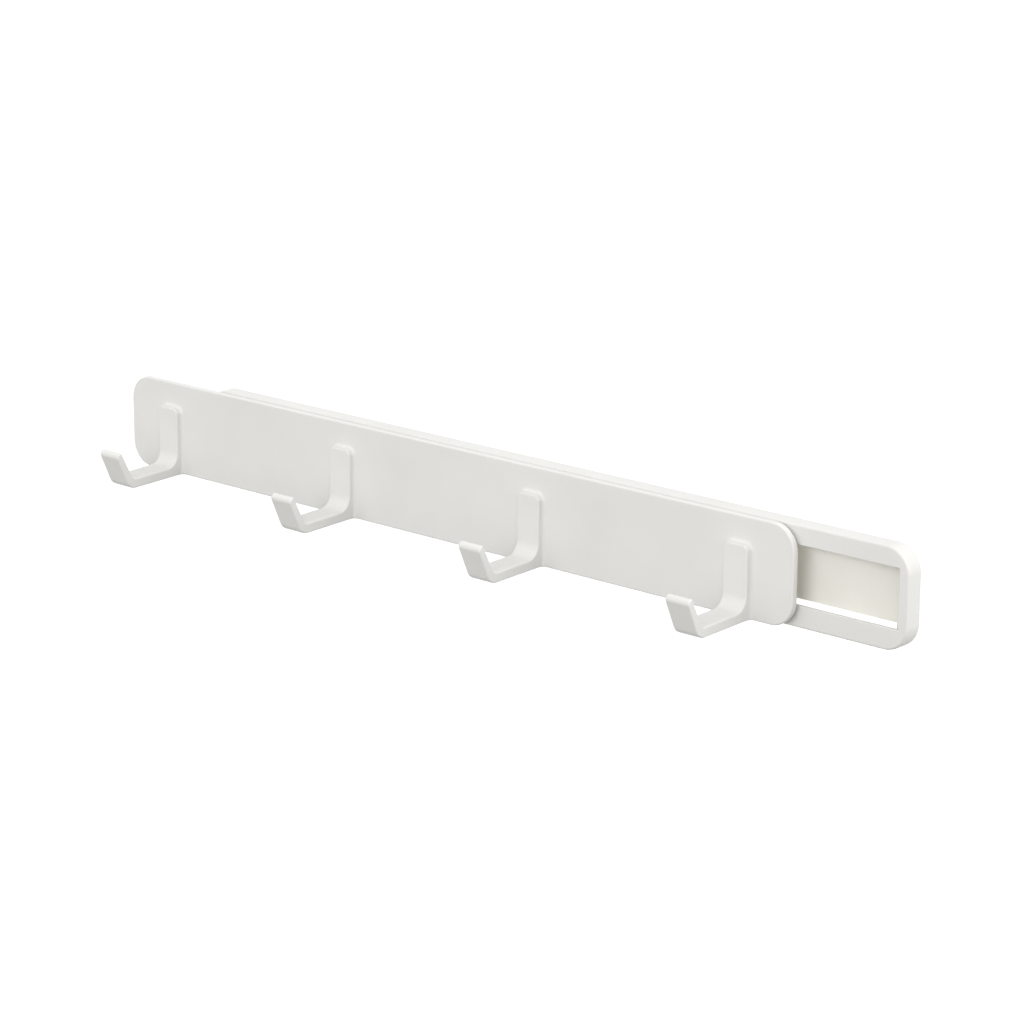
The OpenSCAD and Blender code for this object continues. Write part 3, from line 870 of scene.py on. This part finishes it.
def steel(name, light, dark, roughness, lines, line_height):
    """A metal with fine lines or crystals. lines gives their size in metres along X, Y and Z."""
    made = bpy.data.materials.new(name)
    made.use_nodes = True
    tree = made.node_tree
    shader = tree.nodes["Principled BSDF"]
    place = add(tree, "ShaderNodeTexCoord").outputs["Object"]
    stretched = add(tree, "ShaderNodeMapping",
        {"Vector": place, "Scale": tuple(1 / size for size in lines)})
    marks = add(tree, "ShaderNodeTexNoise",
        {"Vector": stretched.outputs["Vector"], "Scale": 1.0, "Detail": 3.0})
    colour = add(tree, "ShaderNodeMix",
        {factor: marks.outputs["Fac"], colour_a: srgb(light), colour_b: srgb(dark)},
        data_type="RGBA")
    sheen = add(tree, "ShaderNodeMapRange", {"Value": marks.outputs["Fac"], **noise_range,
        "To Min": roughness + steel_spread[0], "To Max": roughness + steel_spread[1]})
    bump = add(tree, "ShaderNodeBump",
        {"Height": marks.outputs["Fac"], "Distance": line_height, "Strength": 1.0})
    tree.links.new(colour.outputs[mixed_colour], shader.inputs["Base Color"])
    tree.links.new(sheen.outputs["Result"], shader.inputs["Roughness"])
    tree.links.new(bump.outputs["Normal"], shader.inputs["Normal"])
    shader.inputs["Metallic"].default_value = 1.0
    return made


# %% Zinc and stainless
# Steel, zinc plated and clear passivated: bright, slightly bluish, with a fine crystal bloom
zinc_steel = steel("steel_zinc_plated", "#D3D6DA", "#B9BDC2", roughness=0.3,
    lines=(0.3 * mm, 0.3 * mm, 0.3 * mm), line_height=0.004 * mm)
# Stainless strip, cold rolled: greyer, with roll lines along the strip
spring_steel = steel("stainless_strip_rolled", "#B9B8B5", "#A3A29F", roughness=0.28,
    lines=(8 * mm, 0.12 * mm, 0.12 * mm), line_height=0.003 * mm)
print("made", zinc_steel.name, "and", spring_steel.name)

# %% [markdown]
# Who wears what
#
# Finishes could be set piece by piece, but one table from slot to material serves them all, and no
# piece can be forgotten.

# %% Give each piece its finish
finishes = {"white_plastic": white_abs, "warm_plastic": warm_abs,
    "natural_plastic": natural_nylon, "acetal": acetal, "rubber": rubber,
    "zinc_steel": zinc_steel, "spring_steel": spring_steel}
dressed = [hook_plate, wall_frame, back_plate] + [screw for screw, node, body in screws]
for piece in dressed:
    piece.data.materials.clear()
    piece.data.materials.append(finishes[piece["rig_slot"]])
for part in frame["record"]["subparts"]:
    for slot in frame["nodes"][part["node"]].material_slots:
        slot.material = finishes[part["material_slot"]]

# %% [markdown]
# Floor, background and light
#
# The rail is photographed as if it hung in the air of a white studio, so its floor lies far below.
# Background and floor could be lit until they burn out, but that would wash out a white object.
# Instead straight rays see a plain white, while the object is lit by a world a little dimmer than
# that, a large soft box in front and two at its right-hand end. For those lights the floor is a
# mid grey, so little comes back from below and the undersides of hooks and plate stay darker.

# %% Plain colours
bpy.context.scene.view_settings.view_transform = "Standard"
print("view transform:", bpy.context.scene.view_settings.view_transform)


# %% Background
def straight_rays(tree):
    """1 for what is seen directly, in a mirror image or through glass, 0 for what gives light."""
    rays = add(tree, "ShaderNodeLightPath")
    seen = add(tree, "ShaderNodeMath",
        {0: rays.outputs["Is Camera Ray"], 1: rays.outputs["Is Glossy Ray"]}, operation="MAXIMUM")
    return add(tree, "ShaderNodeMath",
        {0: seen.outputs[0], 1: rays.outputs["Is Transmission Ray"]}, operation="MAXIMUM")


world_level = 0.88
pure_white = srgb("#FFFFFF")
world = bpy.data.worlds.new("studio")
world.use_nodes = True
tree = world.node_tree
tree.nodes.clear()
seen = straight_rays(tree)
dim = add(tree, "ShaderNodeBackground", {"Color": pure_white, "Strength": world_level})
white = add(tree, "ShaderNodeBackground", {"Color": pure_white, "Strength": 1.0})
mixed = add(tree, "ShaderNodeMixShader",
    {0: seen.outputs[0], 1: dim.outputs[0], 2: white.outputs[0]})
add(tree, "ShaderNodeOutputWorld", {"Surface": mixed.outputs[0]})
bpy.context.scene.world = world
print("world lights at", world_level, "and shows white")

# %% Floor
floor_drop = 1.1
floor_size = 24
bpy.ops.mesh.primitive_plane_add(size=floor_size, location=(0, 0, cad_low.z - floor_drop))
floor = bpy.context.object
floor.name = "floor"
paper = bpy.data.materials.new("white_studio_paper")
paper.use_nodes = True
tree = paper.node_tree
tree.nodes.clear()
matte = add(tree, "ShaderNodeBsdfDiffuse", {"Color": srgb("#7C7C7A")})
glow = add(tree, "ShaderNodeEmission", {"Color": pure_white, "Strength": 1.0})
lit = add(tree, "ShaderNodeAddShader", {0: matte.outputs[0], 1: glow.outputs[0]})
shown = add(tree, "ShaderNodeMixShader",
    {0: straight_rays(tree).outputs[0], 1: matte.outputs[0], 2: lit.outputs[0]})
add(tree, "ShaderNodeOutputMaterial", {"Surface": shown.outputs[0]})
floor.data.materials.append(paper)
print("floor", floor_size, "m wide,", floor_drop, "m below the rail")


# %% Lamps
def soft_lamp(name, place, width, height, watts):
    """A rectangular soft box that faces the middle of the rail."""
    bpy.ops.object.light_add(type="AREA", location=place)
    lamp = bpy.context.object
    lamp.name = name
    lamp.data.shape = "RECTANGLE"
    lamp.data.size, lamp.data.size_y = width, height
    lamp.data.energy = watts
    lamp.rotation_euler = (aim - Vector(place)).to_track_quat("-Z", "Y").to_euler()
    print(name, watts, "W")


soft_lamp("front_box", (0.2, -3.0, 0.9), width=2.4, height=2.4, watts=29)
soft_lamp("right_rear_box", (2.6, 0.7, 1.0), width=1.6, height=2.0, watts=27)
soft_lamp("right_front_box", (2.6, -1.6, 0.6), width=1.6, height=2.0, watts=6)
